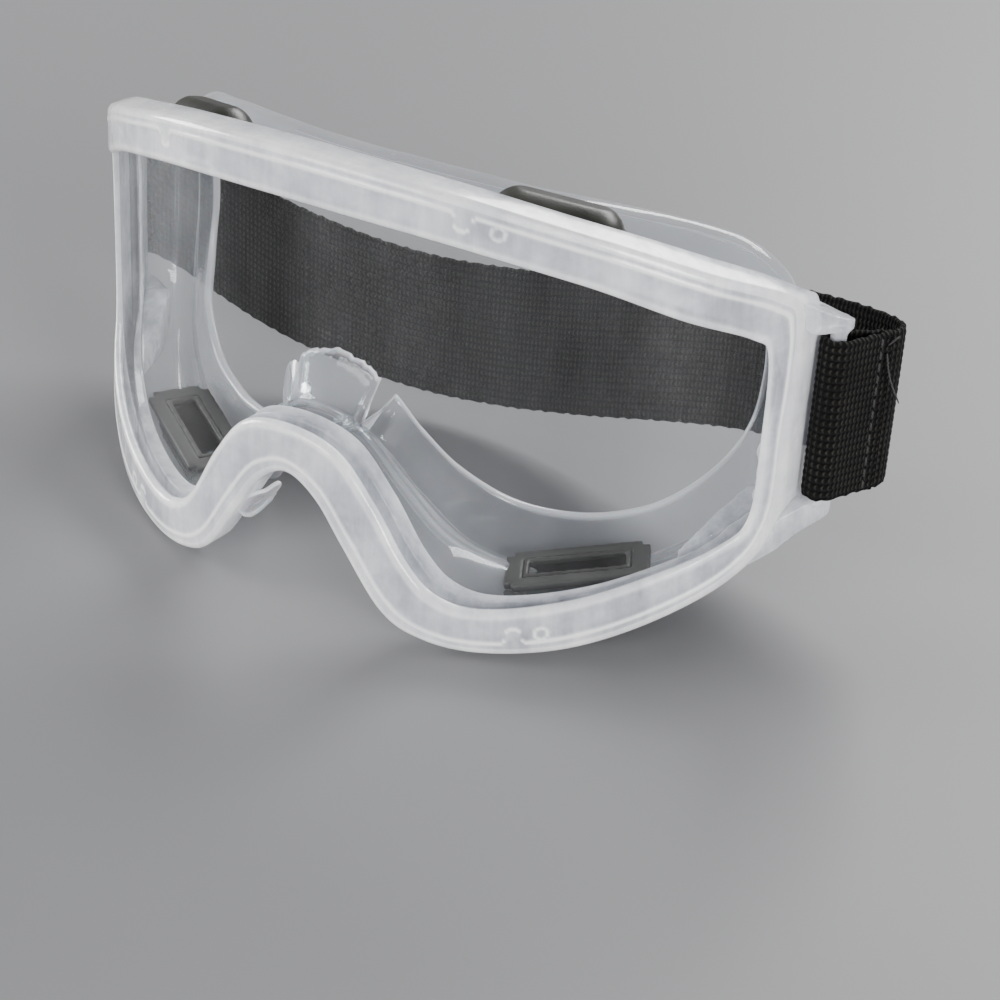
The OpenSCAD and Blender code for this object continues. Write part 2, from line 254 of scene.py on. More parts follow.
def noise(tree, vector, scale, detail=2.0, roughness=0.5):
    node = add(tree, "ShaderNodeTexNoise")
    node.inputs["Scale"].default_value = scale
    node.inputs["Detail"].default_value = detail
    node.inputs["Roughness"].default_value = roughness
    if vector is not None:
        join(tree, vector, node.inputs["Vector"])
    return node.outputs["Fac"]


def objectVector(tree):
    return add(tree, "ShaderNodeTexCoord").outputs["Object"]


def attribute(tree, name):
    return add(tree, "ShaderNodeAttribute", attribute_name=name).outputs["Fac"]


# Soft moulding: cloudy patches and a fine satin grain, shared by all the moulded pieces
mouldGrain = bpy.data.node_groups.new("mouldGrain", "ShaderNodeTree")
mouldGrain.interface.new_socket("Vector", in_out="INPUT", socket_type="NodeSocketVector")
mouldGrain.interface.new_socket("Clouds", in_out="OUTPUT", socket_type="NodeSocketFloat")
mouldGrain.interface.new_socket("Grain", in_out="OUTPUT", socket_type="NodeSocketFloat")
mouldGrain.interface.new_socket("Waves", in_out="OUTPUT", socket_type="NodeSocketFloat")
mouldGrain.interface.new_socket("Streaks", in_out="OUTPUT", socket_type="NodeSocketFloat")
inside = add(mouldGrain, "NodeGroupInput")
outside = add(mouldGrain, "NodeGroupOutput")
join(mouldGrain, noise(mouldGrain, inside.outputs["Vector"], 95, 4, 0.6), outside.inputs["Clouds"])
join(mouldGrain, noise(mouldGrain, inside.outputs["Vector"], 2600, 2, 0.6), outside.inputs["Grain"])
join(mouldGrain, noise(mouldGrain, inside.outputs["Vector"], 42, 1.5, 0.45), outside.inputs["Waves"])
drawn = add(mouldGrain, "ShaderNodeMapping")
drawn.inputs["Scale"].default_value = (1.0, 1.0, 0.12)
join(mouldGrain, inside.outputs["Vector"], drawn.inputs["Vector"])
join(mouldGrain, noise(mouldGrain, drawn.outputs[0], 420, 3, 0.6), outside.inputs["Streaks"])


def grainIn(tree):
    node = add(tree, "ShaderNodeGroup", node_tree=mouldGrain)
    join(tree, objectVector(tree), node.inputs["Vector"])
    return node


# Reflection only where a ray enters a clear wall, since nothing bends light inside it
def outsideOnly(tree, mirror, share):
    back = add(tree, "ShaderNodeNewGeometry").outputs["Backfacing"]
    entering = mathNode(tree, "SUBTRACT", 1.0, back)
    return mathNode(tree, "MULTIPLY", mirror, mathNode(tree, "MULTIPLY", entering, share))


# Materials

# Milky soft vinyl: thin parts let the ground through, edges and creases go whiter, and a painted highlight
# whitens the lens-edge ridge and press-mark rings
def frostedVinyl():
    look = dict(thin=0.22, thick=0.93, satin=(0.16, 0.32))
    material, tree = newMaterial("frostedVinyl")
    out = add(tree, "ShaderNodeOutputMaterial")
    base = add(tree, "ShaderNodeBsdfPrincipled")
    grain = grainIn(tree)
    facing = add(tree, "ShaderNodeLayerWeight")
    setInputs(facing, Blend=0.38)
    # Whiteness a ring: milkiness where the vinyl is thicker, and painted highlight along the lens-edge ridge
    # and press-mark rings
    milkAndHighlight = attribute(tree, "milkAndHighlight")
    clouds = spread(tree, grain.outputs["Clouds"], 0.36, 0.64)
    streak = spread(tree, grain.outputs["Streaks"], 0.38, 0.62)
    white = mathNode(tree, "ADD", mathNode(tree, "MULTIPLY", clouds, 0.30),
                     mathNode(tree, "MULTIPLY", facing.outputs["Facing"], 0.34))
    white = mathNode(tree, "ADD", white, mathNode(tree, "MULTIPLY", streak, 0.12))
    white = mathNode(tree, "ADD", white, milkAndHighlight, clamp=True)
    join(tree, ramp(tree, white, [(0.0, (0.60, 0.62, 0.70)), (0.45, (0.86, 0.87, 0.91)),
                                  (1.0, (0.985, 0.985, 0.99))]), base.inputs["Base Color"])
    join(tree, spread(tree, white, 0.0, 0.9, (look["thin"], look["thick"])), base.inputs["Alpha"])
    join(tree, spread(tree, grain.outputs["Clouds"], 0.3, 0.7, look["satin"]), base.inputs["Roughness"])
    setInputs(base, Subsurface_Weight=0.25, Subsurface_Scale=0.002, IOR=1.5, Coat_Weight=0.7,
              Coat_Roughness=0.07)
    base.inputs["Subsurface Radius"].default_value = (1.0, 0.97, 0.94)
    grained = bumpNode(tree, grain.outputs["Grain"], 0.14, 0.00006)
    join(tree, bumpNode(tree, grain.outputs["Waves"], 0.9, 0.0012, grained), base.inputs["Normal"])
    join(tree, base.outputs[0], out.inputs["Surface"])
    return material


# Clear soft vinyl, milkier where it is seen edge on, with wavy gloss
def clearVinyl():
    look = dict(clear=(0.955, 0.965, 0.975, 1), clouds=(0.03, 0.11), edge=2.3, gloss=0.09, share=0.9)
    material, tree = newMaterial("clearVinyl")
    out = add(tree, "ShaderNodeOutputMaterial")
    grain = grainIn(tree)
    waves = bumpNode(tree, grain.outputs["Waves"], 0.6, 0.0008)
    clear = add(tree, "ShaderNodeBsdfTransparent")
    clear.inputs["Color"].default_value = look["clear"]
    milk = add(tree, "ShaderNodeBsdfPrincipled")
    setInputs(milk, Roughness=0.3, Subsurface_Weight=0.3, Subsurface_Scale=0.002)
    join(tree, waves, milk.inputs["Normal"])
    facing = add(tree, "ShaderNodeLayerWeight")
    setInputs(facing, Blend=0.35)
    join(tree, waves, facing.inputs["Normal"])
    clouds = spread(tree, grain.outputs["Clouds"], 0.25, 0.75, look["clouds"])
    edge = mathNode(tree, "POWER", facing.outputs["Facing"], look["edge"])
    amount = mathNode(tree, "ADD", mathNode(tree, "MULTIPLY", edge, 0.9), clouds)
    amount = mathNode(tree, "ADD", amount, attribute(tree, "milk"), clamp=True)
    join(tree, ramp(tree, amount, [(0.0, (0.60, 0.62, 0.67)), (1.0, (0.95, 0.96, 0.98))]),
         milk.inputs["Base Color"])
    body = add(tree, "ShaderNodeMixShader")
    join(tree, amount, body.inputs["Fac"])
    join(tree, clear.outputs[0], body.inputs[1])
    join(tree, milk.outputs[0], body.inputs[2])
    gloss = add(tree, "ShaderNodeBsdfGlossy")
    setInputs(gloss, Roughness=look["gloss"])
    join(tree, waves, gloss.inputs["Normal"])
    mirror = add(tree, "ShaderNodeFresnel")
    setInputs(mirror, IOR=1.5)
    join(tree, waves, mirror.inputs["Normal"])
    top = add(tree, "ShaderNodeMixShader")
    join(tree, outsideOnly(tree, mirror.outputs[0], look["share"]), top.inputs["Fac"])
    join(tree, body.outputs[0], top.inputs[1])
    join(tree, gloss.outputs[0], top.inputs[2])
    join(tree, top.outputs[0], out.inputs["Surface"])
    return material


# Hard clear sheet: a polished skin with a faint haze and wiped smears
def lensPlastic():
    look = dict(clear=(0.965, 0.972, 0.978, 1), smears=(0.004, 0.022), gloss=(0.02, 0.09), share=0.75)
    material, tree = newMaterial("lensPlastic")
    out = add(tree, "ShaderNodeOutputMaterial")
    clear = add(tree, "ShaderNodeBsdfTransparent")
    clear.inputs["Color"].default_value = look["clear"]
    haze = add(tree, "ShaderNodeBsdfPrincipled")
    haze.inputs["Base Color"].default_value = (0.86, 0.87, 0.89, 1)
    setInputs(haze, Roughness=0.6)
    stretch = add(tree, "ShaderNodeMapping")
    stretch.inputs["Scale"].default_value = (1.0, 1.0, 0.25)
    join(tree, objectVector(tree), stretch.inputs["Vector"])
    smears = spread(tree, noise(tree, stretch.outputs[0], 38, 5, 0.62), 0.42, 0.72, look["smears"])
    body = add(tree, "ShaderNodeMixShader")
    join(tree, smears, body.inputs["Fac"])
    join(tree, clear.outputs[0], body.inputs[1])
    join(tree, haze.outputs[0], body.inputs[2])
    gloss = add(tree, "ShaderNodeBsdfGlossy")
    join(tree, spread(tree, smears, *look["smears"], look["gloss"]), gloss.inputs["Roughness"])
    mirror = add(tree, "ShaderNodeFresnel")
    setInputs(mirror, IOR=1.52)
    top = add(tree, "ShaderNodeMixShader")
    join(tree, outsideOnly(tree, mirror.outputs[0], look["share"]), top.inputs["Fac"])
    join(tree, body.outputs[0], top.inputs[1])
    join(tree, gloss.outputs[0], top.inputs[2])
    join(tree, top.outputs[0], out.inputs["Surface"])
    return material


# Dull soft plastic with a mottled skin, paler rubbed edges and painted shade darkening its hollows
def ventPlastic(name, dark, light, rough, shine=0.5):
    material, tree = newMaterial(name)
    out = add(tree, "ShaderNodeOutputMaterial")
    base = add(tree, "ShaderNodeBsdfPrincipled")
    grain = grainIn(tree)
    rubbed = spread(tree, add(tree, "ShaderNodeNewGeometry").outputs["Pointiness"], 0.52, 0.60)
    mottle = spread(tree, grain.outputs["Clouds"], 0.3, 0.7)
    amount = mathNode(tree, "ADD", mathNode(tree, "MULTIPLY", mottle, 0.5),
                      mathNode(tree, "MULTIPLY", rubbed, 0.5), clamp=True)
    # Painted shade: ambient occlusion darkens the colour in hollows and slots, down to near black
    hollowShade = add(tree, "ShaderNodeAmbientOcclusion", samples=6)
    setInputs(hollowShade, Distance=0.005)
    shade = mathNode(tree, "POWER", hollowShade.outputs["AO"], 2.0)
    amount = mathNode(tree, "ADD", mathNode(tree, "MULTIPLY", amount, 0.8), 0.2)
    amount = mathNode(tree, "MULTIPLY", amount, shade)
    join(tree, ramp(tree, amount, [(0.0, (0.002, 0.002, 0.002)), (0.2, dark), (1.0, light)]),
         base.inputs["Base Color"])
    join(tree, spread(tree, mottle, 0, 1, rough), base.inputs["Roughness"])
    setInputs(base, Specular_IOR_Level=shine)
    fine = bumpNode(tree, grain.outputs["Grain"], 0.35, 0.00012)
    join(tree, bumpNode(tree, grain.outputs["Waves"], 0.3, 0.0004, fine), base.inputs["Normal"])
    join(tree, base.outputs[0], out.inputs["Surface"])
    return material


# Black elastic: rows of small knitted stitches, read from the strap's own map in mm, with painted highlights
# on the raised loops and painted shade in the valleys between rows
def knitElastic():
    knit = dict(perMillimetre=1.05, slant=0.55, fuzz=0.8, valley=0.7, rough=0.85, sheen=0.02)
    material, tree = newMaterial("knitElastic")
    out = add(tree, "ShaderNodeOutputMaterial")
    base = add(tree, "ShaderNodeBsdfPrincipled")
    along = attribute(tree, "along")
    across = attribute(tree, "across")
    row = mathNode(tree, "FRACT", across)
    lean = mathNode(tree, "ABSOLUTE", mathNode(tree, "SUBTRACT", row, 0.5))
    slant = mathNode(tree, "ADD", mathNode(tree, "MULTIPLY", along, knit["perMillimetre"]),
                     mathNode(tree, "MULTIPLY", lean, knit["slant"]))
    wave = mathNode(tree, "SINE", mathNode(tree, "MULTIPLY", slant, 6.2832))
    loops = mathNode(tree, "POWER", spread(tree, wave, -1, 1), 1.6)
    valley = mathNode(tree, "POWER", mathNode(tree, "MULTIPLY", lean, 2.0), 3.0)
    fuzz = noise(tree, objectVector(tree), 5200, 3, 0.7)
    raised = mathNode(tree, "ADD", loops, mathNode(tree, "MULTIPLY", fuzz, knit["fuzz"]))
    height = mathNode(tree, "SUBTRACT", raised, mathNode(tree, "MULTIPLY", valley, knit["valley"]))
    # Colour from stitch height: raised loops painted lighter as highlight, valleys painted darker as shade,
    # times a random tone
    stitchShadeAndTone = mathNode(tree, "MULTIPLY", spread(tree, height, 0.1, 1.6),
                    spread(tree, noise(tree, objectVector(tree), 160, 3), 0.3, 0.7, (0.75, 1.0)))
    valleyShade = mathNode(tree, "SUBTRACT", 1.0, mathNode(tree, "MULTIPLY", valley, 0.85))
    stitchShadeAndTone = mathNode(tree, "MULTIPLY", stitchShadeAndTone, valleyShade)
    join(tree, ramp(tree, stitchShadeAndTone, [(0.0, (0.0010, 0.0010, 0.0010)), (0.45, (0.0050, 0.0048, 0.0042)),
                                 (1.0, (0.060, 0.056, 0.046))]), base.inputs["Base Color"])
    setInputs(base, Roughness=knit["rough"], Sheen_Weight=knit["sheen"], Sheen_Roughness=0.5,
              Specular_IOR_Level=0.12)
    join(tree, bumpNode(tree, height, 1.0, 0.0005), base.inputs["Normal"])
    join(tree, base.outputs[0], out.inputs["Surface"])
    return material


def sewingThread():
    material, tree = newMaterial("sewingThread")
    out = add(tree, "ShaderNodeOutputMaterial")
    base = add(tree, "ShaderNodeBsdfPrincipled")
    twist = add(tree, "ShaderNodeTexWave")
    twist.bands_direction = "DIAGONAL"
    setInputs(twist, Scale=1100.0, Distortion=1.5)
    join(tree, objectVector(tree), twist.inputs["Vector"])
    join(tree, ramp(tree, twist.outputs["Fac"], [(0.0, (0.006, 0.006, 0.006)), (1.0, (0.04, 0.038, 0.036))]),
         base.inputs["Base Color"])
    setInputs(base, Roughness=0.6)
    join(tree, bumpNode(tree, twist.outputs["Fac"], 0.6, 0.0001), base.inputs["Normal"])
    join(tree, base.outputs[0], out.inputs["Surface"])
    return material


vinyl = frostedVinyl()
skin = clearVinyl()
glass = lensPlastic()
hoodPlastic = ventPlastic("ventPlastic", (0.016, 0.016, 0.013), (0.055, 0.055, 0.045), (0.34, 0.52))
# A near-black copy of the vent plastic, as painted shade for the sheets inside the slots
slotShadePlastic = ventPlastic("ventSlotPlastic", (0.0012, 0.0012, 0.0010), (0.0055, 0.0052, 0.0046),
                          (0.7, 0.9), shine=0.03)
platePlastic = ventPlastic("ventPlatePlastic", (0.024, 0.024, 0.021), (0.062, 0.062, 0.054), (0.42, 0.60))
elastic = knitElastic()
thread = sewingThread()
print("materials made")

# Outline curves, all sampled at the same evenly spaced places

outlineCount = len(bothHalves(bandEdge))
fine = np.linspace(0, outlineCount, 6401)[:-1]
middle = (smoothCurve(bothHalves(bandEdge), fine) + smoothCurve(bothHalves(openingEdge), fine)) / 2
middleLine = np.c_[middle[:, 0], depthY(middle[:, 0], 0), middle[:, 1]]
steps = np.diff(np.vstack([middleLine, middleLine[:1]]), axis=0)
travel = np.r_[0, np.cumsum(np.linalg.norm(steps, axis=1))]
perimeter = travel[-1]
columnCount = front["columns"]
arc = np.linspace(0, perimeter, columnCount, endpoint=False)
places = np.interp(arc, travel, np.r_[fine, outlineCount])
outer = smoothCurve(bothHalves(bandEdge), places)
opening = smoothCurve(bothHalves(openingEdge), places)
rim = smoothCurve(bothHalves(rimEdge), places)
lip = smoothCurve(bothHalves(lipEdge), places)
width = np.linalg.norm(opening - outer, axis=1)


# Where along the front a point lies, as a distance round the outline
def arcOf(x, z, curve):
    return arc[np.argmin(np.hypot(curve[:, 0] - x, curve[:, -1] - z))]


def arcGap(place):
    gap = np.abs(arc - place)
    return np.minimum(gap, perimeter - gap)


# Front band, with the channel that holds the lens and a ragged lip behind it

band = dict(corner=1.25, ridgeHeight=0.22, ridgeWidth=0.42, lensReach=0.28, channelReach=0.24,
            lipReach=1.9, lipThick=1.3, pinBump=2.9, pinWidth=1.55, ringRadius=1.15, shoulder=3.6)

ridgeAt = band["lensReach"] * width
for px, pz in pinPlaces:
    place = arcOf(px, pz, outer)
    ridgeAt = ridgeAt + band["pinBump"] * np.exp(-(arcGap(place) / band["pinWidth"]) ** 6)
ridgeAt = np.minimum(ridgeAt, width - 1.0)
pressMarks = [arcOf(x, z, outer) for x, z in ((38.5, 84.2), (48.6, 2.2), (-48.6, 2.2))]
corner = np.minimum(band["corner"], width * 0.3)
ragged = sum(a * np.sin(arc * 2 * math.pi * k / perimeter + p)
             for a, k, p in ((0.45, 17, 0.4), (0.25, 41, 1.9), (0.18, 73, 4.0)))
sideways = np.clip((np.abs(opening[:, 0]) - 66) / 7, 0, 1)
lipOut = 0.25 + (band["lipReach"] + ragged) * sideways

# One entry a ring: distance in from the outer edge, the face it follows, offset from it, whiteness (milkier
# where thicker, plus painted highlight on the lens-edge ridge and press-mark rings)
profile = []
level = 0 * width
for a in np.linspace(180, 270, 6):
    profile.append((corner * (1 + math.cos(math.radians(a))), "front",
                    corner * (1 + math.sin(math.radians(a))), 0.75 + level))
for k in np.linspace(0, 1, 26)[1:-1]:
    s = corner + (width - 2 * corner) * k
    # The ridge along the lens edge and the press-mark rings: raised in shape, and whitened as painted
    # highlight
    ridgeAndHighlight = np.exp(-((s - ridgeAt) / band["ridgeWidth"]) ** 2)
    for place in pressMarks:
        ring = np.hypot(arcGap(place), s - 0.45 * width) - band["ringRadius"]
        ridgeAndHighlight = np.maximum(ridgeAndHighlight, 0.8 * np.exp(-(ring / 0.32) ** 2))
    solid = 0.30 * np.clip((ridgeAt - s) / 0.6, 0, 1) + 0.55 * np.exp(-((width - corner - s) / 0.5) ** 2)
    profile.append((s, "front", -band["ridgeHeight"] * ridgeAndHighlight, np.maximum(ridgeAndHighlight * 1.4, solid)))
for a in np.linspace(270, 360, 5):
    profile.append((width - corner * (1 - math.cos(math.radians(a))), "front",
                    corner * (1 + math.sin(math.radians(a))), 0.7 + level))
lipEnd = front["lip"]
channelEnd = front["lip"] + front["channel"]
profile += [
    (width, "sunk", lipEnd - 0.25 + level, level),
    (width - 0.2, "sunk", lipEnd + level, level),
    (width * band["channelReach"], "sunk", lipEnd + level, level),
    (width * band["channelReach"], "sunk", channelEnd + level, level),
    (width - 0.2, "sunk", channelEnd + level, level),
    (width, "sunk", channelEnd + 0.2 + level, level),
    (width + lipOut - 0.35, "rear", -0.62 * band["lipThick"] + level, 0.35 + level),
    (width + lipOut, "rear", -0.35 + level, 0.6 + level),
    (width + lipOut - 0.3, "rear", level, 0.35 + level),
    (width, "rear", level, level),
    (width * 0.6, "rear", level, level),
]
shoulders = [arcOf(s * 76, 70.2, outer) for s in (1, -1)]  # the corners that run into the lugs
nearLug = sum(np.exp(-(arcGap(p) / 8) ** 2) for p in shoulders)
rounder = corner + np.minimum(band["shoulder"] * nearLug, 0.45 * width)
for a in np.linspace(90, 180, 9):
    profile.append((rounder * (1 + math.cos(math.radians(a))), "rear",
                    -rounder * (1 - math.sin(math.radians(a))), level))


def bandDepth(x, where, offset):
    if where == "front":
        return depthY(x, 0) + offset
    if where == "sunk":
        return depthY(x, offset)
    return rearY(x) + offset


bandRings, bandMilkAndHighlight = [], []
for s, where, offset, mark in profile:
    xz = outer + (opening - outer) * (s / width)[:, None]
    bandRings.append(np.c_[xz[:, 0], bandDepth(xz[:, 0], where, offset), xz[:, 1]])
    bandMilkAndHighlight.append(mark * 0.6)
makePiece("frontBand", seated(np.array(bandRings)), gridFaces(len(bandRings), columnCount, True, True),
          vinyl, "root", ["lens_frame"], sharp=55, values={"milkAndHighlight": np.array(bandMilkAndHighlight)})
print("front band made")

# A thin tab that the mould leaves on one side of the nose arch
tab = dict(place=(-11.6, 7.0, 15.5), turn=(15, 124), radius=4.2, horn=2.3, dish=0.5, columns=96)
tabProfile = [(0.02, 0.22), (0.5, 0.24), (0.86, 0.30), (0.97, 0.42), (1.0, 0.0),
              (0.97, -0.42), (0.86, -0.30), (0.5, -0.24), (0.02, -0.22)]
tabMilk = [0.05, 0.05, 0.12, 0.6, 0.7, 0.6, 0.12, 0.05, 0.05]
turnX, turnY = (math.radians(a) for a in tab["turn"])
tilt = Matrix.Rotation(turnY, 3, "Y") @ Matrix.Rotation(turnX, 3, "X")
around = np.linspace(0, 2 * math.pi, tab["columns"], endpoint=False)
horn = tab["horn"] * np.exp(-((around - math.pi * 0.93) / 0.30) ** 2)
tabOut = tab["radius"] + horn + 0.12 * np.sin(around * 5 + 1) + 0.07 * np.sin(around * 11)
tabRings = []
for reachOut, height in tabProfile:
    saddle = height + tab["dish"] * (reachOut ** 2) * np.cos(around * 2)
    tabRings.append(np.c_[np.cos(around) * tabOut * reachOut, np.sin(around) * tabOut * reachOut, saddle])
tabPoints = np.array(tabRings) @ np.array(tilt).T + tab["place"]
makePiece("mouldTab", seated(tabPoints), gridFaces(len(tabProfile), tab["columns"], True, True), skin, "root",
          values={"milk": np.repeat(tabMilk, tab["columns"])})

# Lens

lensSize = dict(columns=161, rows=65, thick=2.0, gap=0.1)
lensOutline = outer + (opening - outer) * band["lensReach"]
upper = lensOutline[(lensOutline[:, 1] > 50)]
lower = lensOutline[(lensOutline[:, 1] <= 50)]
upper = upper[np.argsort(upper[:, 0])]
lower = lower[np.argsort(lower[:, 0])]
reach = min(upper[:, 0].max(), lower[:, 0].max()) - 0.02
lensX = np.sin(np.linspace(-math.pi / 2, math.pi / 2, lensSize["columns"]) * 0.97)
lensX = lensX / lensX.max() * reach
top = np.interp(lensX, upper[:, 0], upper[:, 1])
bottom = np.interp(lensX, lower[:, 0], lower[:, 1])
rise = np.linspace(0, 1, lensSize["rows"])[:, None]
lensZ = bottom + (top - bottom) * rise
lensGridX = np.broadcast_to(lensX, lensZ.shape)
shells = []
for depth in (front["lip"] + lensSize["gap"], front["lip"] + lensSize["gap"] + lensSize["thick"]):
    shells.append(np.stack([lensGridX, depthY(lensGridX, depth), lensZ], -1))
lensRows, lensColumns = lensZ.shape
lensFaces = gridFaces(lensRows, lensColumns, False, False)
second = (np.array(gridFaces(lensRows, lensColumns, False, False, True)) + lensRows * lensColumns).tolist()
edge = (list(range(lensColumns)) + [r * lensColumns + lensColumns - 1 for r in range(1, lensRows)]
        + [(lensRows - 1) * lensColumns + c for c in range(lensColumns - 2, -1, -1)]
        + [r * lensColumns for r in range(lensRows - 2, 0, -1)])
shellSize = lensRows * lensColumns
sideFaces = [[a, b, b + shellSize, a + shellSize] for a, b in zip(edge, edge[1:] + edge[:1])]
makePiece("lens", seated(np.array(shells)), lensFaces + second + sideFaces, glass, "root",
          ["lens"], sharp=40)
print("lens made")

# Soft skirt: a lofted wall with a rolled rim, two relief slits and a ragged nose flap

skirt = dict(thick=1.6, wallReach=0.62, rows=46, slitWidth=1.7, slitDepth=2.3, lean=5.0, leanWidth=7.5,
             rolled=0.35, stiff=0.5)
start = outer + (opening - outer) * skirt["wallReach"]
rootLine = np.c_[start[:, 0], rearY(start[:, 0]) - 0.4, start[:, 1]]
waist = (rootLine + rim) / 2 + np.c_[-rootLine[:, 0] * 0.01, 0 * rootLine[:, 0], (50 - rootLine[:, 2]) * 0.08]
raised = np.exp(-(arc - arc[np.argmin(np.abs(lip[:, 0]) + 99 * (lip[:, 2] > 60))]) ** 2 / 200)[:, None]
flapLip = lip + raised * (0, 1.0, 1.9)  # the flap stands a little above the sides of the nose
slitPlaces = [arcOf(s * 9.6, 40.0, lip[:, [0, 2]]) for s in (1, -1)]
slit = sum(np.clip(1 - arcGap(p) / skirt["slitWidth"], 0, 1) ** 0.8 for p in slitPlaces)
nose = arcOf(0, 43.4, lip[:, [0, 2]])


# The curve with its points beside the nose pulled towards the middle, so the slits lean inwards
def drawnIn(curve, amount):
    signed = (arc - nose + perimeter / 2) % perimeter - perimeter / 2
    reach = arcGap(nose)[np.argmin(np.abs(arc - slitPlaces[0]))]
    pull = amount * np.sign(signed) * np.exp(-((np.abs(signed) - reach) / skirt["leanWidth"]) ** 2)
    pull = pull * np.clip(np.abs(signed) / reach, 0, 1)
    order = np.r_[arc - perimeter, arc, arc + perimeter]
    return np.stack([np.interp(arc - pull, order, np.tile(curve[:, i], 3)) for i in range(3)], axis=1)


rootLine = drawnIn(rootLine, skirt["lean"])
waist = drawnIn(waist, skirt["lean"] * 0.7)
rim = drawnIn(rim, skirt["lean"] * 0.35)
stations = [2 * rootLine - waist, rootLine, waist, rim, flapLip, 2 * flapLip - rim]
flapHalf = arcGap(nose)[np.argmin(np.abs(arc - slitPlaces[0]))]
flap = np.clip((flapHalf - arcGap(nose)) / 2.0, 0, 1)
teeth = 0.016 * np.sin(arc * 1.3) + 0.016 * np.sin(arc * 2.9 + 1) + 0.014 * np.sin(arc * 5.3)
lastT = 3.0 - skirt["slitDepth"] * slit + flap * (0.02 + teeth) * (slit < 0.02)


# Points on the soft wall at t, from 0 at the band to 3 at the lip, one t a column
def wallAt(t):
    k = np.clip(np.floor(t), 0, 2).astype(int)
    f = (t - k)[:, None]
    pick = np.stack(stations)
    i = np.arange(columnCount)
    a, b, c, d = (pick[k + j, i] for j in range(4))
    return 0.5 * (2 * b + (c - a) * f + (2 * a - 5 * b + 4 * c - d) * f ** 2
                  + (3 * b - a - 3 * c + d) * f ** 3)


share = np.linspace(0, 1, skirt["rows"])
outerWall = np.array([wallAt(lastT * s) for s in share])
alongWall = np.roll(outerWall, -1, 1) - np.roll(outerWall, 1, 1)
backWall = np.gradient(outerWall, axis=0)
normals = unit(np.cross(alongWall, backWall))
thick = np.full(outerWall.shape[:2], skirt["thick"])
ts = lastT[None, :] * share[:, None]
thick += skirt["rolled"] * np.exp(-((ts - (lastT - 0.04)[None, :]) / 0.06) ** 2)  # rolled free edge
thick += skirt["stiff"] * np.exp(-((ts - 2.0) / 0.09) ** 2)  # stiffer line round the rim
ripple = 0.12 * np.sin(arc * 0.13 + 2 * ts) + 0.06 * np.sin(arc * 0.31 + 1.3 + 5 * ts)
ripple = ripple * np.clip(ts / 3, 0, 1)
outerWall = outerWall - normals * (0.25 + ripple)[..., None]
innerWall = outerWall - normals * thick[..., None]
capWall = (outerWall[-1] + innerWall[-1]) / 2 + 0.5 * unit(backWall[-1])
skirtRings = np.concatenate([outerWall, capWall[None], innerWall[::-1]])
edgeMilk = np.exp(-((ts - lastT) / 0.025) ** 2) * 0.4 + np.exp(-((ts - 2.0) / 0.04) ** 2) * 0.25
edgeMilk += 0.25 * np.clip(slit * 1.5, 0, 1) * (1 - slit) + 0.15 * np.exp(-((ts - 1.0) / 0.04) ** 2)
milk = np.concatenate([edgeMilk, np.full((1, columnCount), 0.5), edgeMilk[::-1]])
makePiece("faceSkirt", seated(skirtRings), gridFaces(len(skirtRings), columnCount, True, True),
          skin, "root", ["face_skirt"], values={"milk": milk})
print("face skirt made")

# Strap lugs

lugs = dict(voxel=0.00042, smoothing=6, high=62.0, low=29.0, thinFrom=72.0, thinTo=84.0, thin=0.5)
for side in ("right", "left"):
    lug = softCopy("strapLug" + side.title(), "strap_lug_" + side, vinyl, "root",
                   lugs["voxel"], lugs["smoothing"])
    points = upright([v.co for v in lug.data.vertices])
    part = np.clip((np.abs(points[:, 0]) - lugs["thinFrom"]) / (lugs["thinTo"] - lugs["thinFrom"]), 0, 1)
    keep = 1 - lugs["thin"] * part * part * (3 - 2 * part)  # each arm thins towards its tip
    z = points[:, 2]
    z = np.where(z > lugs["high"], lugs["high"] + (z - lugs["high"]) * keep, z)
    points[:, 2] = np.where(z < lugs["low"], lugs["low"] - (lugs["low"] - z) * keep, z)
    lug.data.vertices.foreach_set("co", seated(points).ravel())
    lug.data.update()
print("lugs made")

# Vents

vents = dict(voxel=0.00036, smoothing=3, slot=(9.2, 2.7), sunk=0.25, dish=0.2, slotGrid=(25, 9))


def worldPoints(nodeName):
    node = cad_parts[nodeName]
    return np.array([node.matrix_world @ v.co for v in node.data.vertices])


# Painted shade for the inside of a vent: a near-black dished sheet across its neck, where the real slot is
# only in shadow
def slotShade(name, plateName, hoodName):
    plate, hood = worldPoints(plateName), worldPoints(hoodName)
    middle = plate.mean(0)
    long, wide, flat = np.linalg.svd(plate - middle, full_matrices=False)[2]
    flat = flat * np.sign(np.dot(hood.mean(0) - middle, flat))
    rows, columns = vents["slotGrid"]
    u, v = np.meshgrid(np.linspace(-1, 1, rows), np.linspace(-1, 1, columns), indexing="ij")
    deep = vents["sunk"] + vents["dish"] * (1 - u ** 2) * (1 - v ** 2)
    points = middle + (u[..., None] * vents["slot"][0] * long + v[..., None] * vents["slot"][1] * wide
                       + deep[..., None] * flat) / 1000
    makePiece(name, points, gridFaces(rows, columns, False, False), slotShadePlastic, "root")


for spot in ("top_right", "top_left", "bottom_right", "bottom_left"):
    label = spot.title().replace("_", "")
    softCopy("ventHood" + label, "vent_hood_" + spot, hoodPlastic, "root",
             vents["voxel"], vents["smoothing"])
    softCopy("ventPlate" + label, "vent_plate_" + spot, platePlastic, "root",
             vents["voxel"], vents["smoothing"])
    # a painted shade sheet inside each slot
    slotShade("ventSlot" + label, "vent_plate_" + spot, "vent_hood_" + spot)
print("vents made")

# Strap

